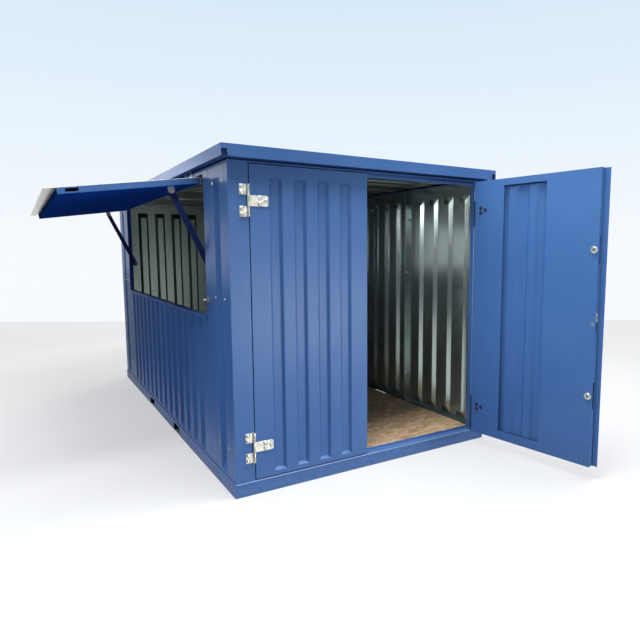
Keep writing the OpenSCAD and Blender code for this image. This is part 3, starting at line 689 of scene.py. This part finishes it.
def addRoofShadeStrip():
    postX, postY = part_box("front_left_post")[0][:2]
    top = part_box("roof_front_fascia")[0][2] - roofShadeStrip["under"]
    bm = bmesh.new()
    bmesh.ops.create_grid(bm, x_segments=1, y_segments=1, size=1.0)
    bmesh.ops.scale(bm, verts=bm.verts, vec=(roofShadeStrip["proud"] - postX, roofShadeStrip["proud"] - postY, 1))
    middle = bm.faces[:]
    bmesh.ops.inset_region(
        bm, faces=middle, thickness=roofShadeStrip["wall"], use_boundary=True, use_even_offset=True)
    bmesh.ops.delete(bm, geom=middle, context="FACES")
    raiseFaces(bm, roofShadeStrip["tall"])
    bmesh.ops.translate(bm, verts=bm.verts, vec=(0, 0, top - roofShadeStrip["tall"]))
    keepPiece(bm, "roofShadeStrip", "kiosk", "stay")


addPanelBolts()
addStayPin("frontStayPin", "front_stay", -1)
addStayPin("rearStayPin", "rear_stay", 1)
addRoofShadeStrip()
print("panel bolts, stay pins and roof shade strip placed")


# camera, fitted to the corners of the base and roof; focal and centre are in pixels of the frame

shot = {
    "place": (-2.1615, -5.2139, 1.5782), "yaw": 32.05, "pitch": 6.44, "roll": -0.15,
    "focal": 543.33, "centre": (358.66, 310.86), "frame": 640, "sensor": 36, "reach": 200,
}


def addCamera():
    lens = bpy.data.cameras.new("kioskShot")
    camera = bpy.data.objects.new("kioskShot", lens)
    bpy.context.scene.collection.objects.link(camera)
    bpy.context.scene.camera = camera
    size = shot["frame"]
    lens.sensor_width = shot["sensor"]
    lens.lens = shot["focal"] * shot["sensor"] / size
    lens.shift_x = (size / 2 - shot["centre"][0]) / size
    lens.shift_y = (shot["centre"][1] - size / 2) / size
    lens.clip_end = shot["reach"]
    turn = Matrix.Rotation(math.radians(-shot["yaw"]), 4, "Z")
    turn = turn @ Matrix.Rotation(math.radians(90 - shot["pitch"]), 4, "X")
    turn = turn @ Matrix.Rotation(math.radians(shot["roll"]), 4, "Z")
    camera.matrix_world = Matrix.Translation(shot["place"]) @ turn


addCamera()


# stage: a pale floor, a pale sky and soft lamps
# floor and sky are paler where they are seen or mirrored than where they light the kiosk

floorStage = {
    "near": -60.0, "far": 12.0, "half": 60.0, "drop": 0.0005, "rough": 0.85, "sheen": 0.1,
    "tone": (0.275, 0.275, 0.275, 1), "bounce": (0.22, 0.23, 0.25, 1),
    "glow": (0.5, 0.64), "fade": (5.5, 10.0), "shade": 0.006,
}


def seenRays(tree):
    rays = addNode(tree, "ShaderNodeLightPath").outputs
    seen = mathOf(tree, "MAXIMUM", rays["Is Camera Ray"], rays["Is Glossy Ray"])
    return mathOf(tree, "MAXIMUM", seen, rays["Is Transmission Ray"])


def clearOfBase(tree, place):  # 0 on the ground under the base, 1 beside it
    axes = axesOf(tree, place)
    halfWide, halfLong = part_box("base_right_rail")[1][0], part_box("base_rear_rail")[1][1]
    sideways = mathOf(tree, "SUBTRACT", mathOf(tree, "ABSOLUTE", axes["X"]), halfWide)
    along = mathOf(tree, "SUBTRACT", mathOf(tree, "ABSOLUTE", axes["Y"]), halfLong)
    return rangeOf(tree, mathOf(tree, "MAXIMUM", sideways, along), (-floorStage["shade"], 0.0))


def makePaleFloor():
    finish, tree, shader, place = newFinish("paleFloor")
    seen = seenRays(tree)
    reach = addNode(tree, "ShaderNodeVectorMath", operation="LENGTH")
    tree.links.new(place, reach.inputs[0])
    glow = rangeOf(tree, reach.outputs["Value"], floorStage["fade"], floorStage["glow"])
    glow = mathOf(tree, "MULTIPLY", glow, clearOfBase(tree, place))
    dressShader(tree, shader, {
        "Base Color": mixTones(tree, seen, floorStage["bounce"], floorStage["tone"]),
        "Emission Color": (1, 1, 1, 1), "Emission Strength": mathOf(tree, "MULTIPLY", glow, seen),
        "Roughness": floorStage["rough"], "Specular IOR Level": floorStage["sheen"],
    })
    return finish


def addFloor():
    near, far = floorStage["near"], floorStage["far"]
    x, y = shot["place"][:2]
    spread = Matrix.Translation((0, (near + far) / 2, 0))
    spread = spread @ Matrix.Diagonal((floorStage["half"], (far - near) / 2, 1, 1))
    yaw = Matrix.Rotation(math.radians(-shot["yaw"]), 4, "Z")
    bm = bmesh.new()
    bmesh.ops.create_grid(bm, x_segments=1, y_segments=1, size=1.0)
    under = Matrix.Translation((x, y, -floorStage["drop"]))
    bmesh.ops.transform(bm, verts=bm.verts, matrix=under @ yaw @ spread)
    meshObject(bm, "paleFloor", makePaleFloor())


softLamps = {
    "skyFront": {
        "place": (0.4, -3.3, 7.6), "aim": (0.3, -2.5, 0.6), "size": (7.0, 1.4),
        "power": 900, "spread": 180, "tone": (0.97, 0.985, 1),
    },
    "frontSoft": {
        "place": (2.5, -8.4, 0.42), "aim": (-1.1, -2.0, 0.30), "size": (3.6, 0.8),
        "power": 20, "spread": 44, "tone": (1, 0.985, 0.965),
    },
    "leafSoft": {
        "place": (-3.6, -7.4, 3.2), "aim": (1.15, -2.5, 1.85), "size": (1.6, 1.6),
        "power": 8, "spread": 27, "tone": (0.98, 0.99, 1),
    },
    "leftSoft": {
        "place": (-8.0, -1.2, 0.7), "aim": (-1.0, -0.8, 0.6), "size": (4.0, 1.0),
        "power": 5.5, "spread": 22, "tone": (0.33, 0.60, 1),
    },
    "roofGlint": {
        "place": (-2.7, 5.6, 3.05), "aim": (-1.1, -0.9, 2.17), "size": (0.5, 0.4),
        "power": 0.10, "spread": 20, "tone": (1, 1, 1),
    },
    "skySoft": {
        "place": (-3.2, -0.2, 8.0), "aim": (-0.6, 0.0, 0.4), "size": (5, 6),
        "power": 440, "spread": 180, "tone": (0.93, 0.97, 1),
    },
    "rearSoft": {
        "place": (4.5, 7.0, 4.5), "aim": (0.0, 0.5, 1.0), "size": (4, 3),
        "power": 230, "spread": 180, "tone": (1, 1, 1),
    },
}


def addLamp(name, lamp):
    light = bpy.data.lights.new(name, "AREA")
    light.shape = "RECTANGLE"
    light.size, light.size_y = lamp["size"]
    light.energy = lamp["power"]
    light.color = lamp["tone"]
    light.spread = math.radians(lamp["spread"])
    body = bpy.data.objects.new(name, light)
    bpy.context.scene.collection.objects.link(body)
    aim = Vector(lamp["aim"]) - Vector(lamp["place"])
    body.matrix_world = Matrix.Translation(lamp["place"]) @ aim.to_track_quat("-Z", "Y").to_matrix().to_4x4()


skyTones = {
    "top": (0.62, 0.79, 0.95, 1), "low": (0.93, 0.965, 0.99, 1), "rise": 0.5,
    "light": (0.88, 0.93, 1.0, 1), "strength": 0.36,
}


def addSky():
    world = bpy.data.worlds.new("paleSky")
    bpy.context.scene.world = world
    world.use_nodes = True
    tree = world.node_tree
    tree.nodes.clear()
    out = addNode(tree, "ShaderNodeOutputWorld")
    way = addNode(tree, "ShaderNodeTexCoord")
    rise = rangeOf(tree, axesOf(tree, way.outputs["Generated"])["Z"], (0.0, skyTones["rise"]))
    shown = addNode(tree, "ShaderNodeBackground", {"Strength": 1.0})
    tree.links.new(mixTones(tree, rise, skyTones["low"], skyTones["top"]), shown.inputs["Color"])
    light = {"Color": skyTones["light"], "Strength": skyTones["strength"]}
    lit = addNode(tree, "ShaderNodeBackground", light)
    mix = addNode(tree, "ShaderNodeMixShader")
    tree.links.new(seenRays(tree), mix.inputs["Fac"])
    tree.links.new(lit.outputs["Background"], mix.inputs[1])
    tree.links.new(shown.outputs["Background"], mix.inputs[2])
    tree.links.new(mix.outputs["Shader"], out.inputs["Surface"])


darkCards = {  # cards that stand beside the set and are seen only in reflections
    "rearCard": {"corner": (-7.0, 2.7), "end": (-1.4, 2.7), "high": 1.15},
    "leftCard": {"corner": (-1.4, -2.6), "end": (-1.4, 3.4), "high": 1.3},
    "nearCard": {"corner": (-7.0, -7.2), "end": (-0.8, -7.2), "high": 3.4},
}


def addDarkCard(name, card):
    bm = bmesh.new()
    foot = [bm.verts.new((*spot, 0.0)) for spot in (card["corner"], card["end"])]
    raised = bmesh.ops.extrude_edge_only(bm, edges=[bm.edges.new(foot)])["geom"]
    raiseCorners(bm, raised, card["high"])
    sheet = meshObject(bm, name, finishes["gap"])
    sheet.visible_camera = False
    sheet.visible_shadow = False
    sheet.visible_diffuse = False


addFloor()
for name, lamp in softLamps.items():
    addLamp(name, lamp)
addSky()
for name, card in darkCards.items():
    addDarkCard(name, card)
bpy.context.scene.view_settings.view_transform = "Standard"
print("camera, floor, lamps and sky set")
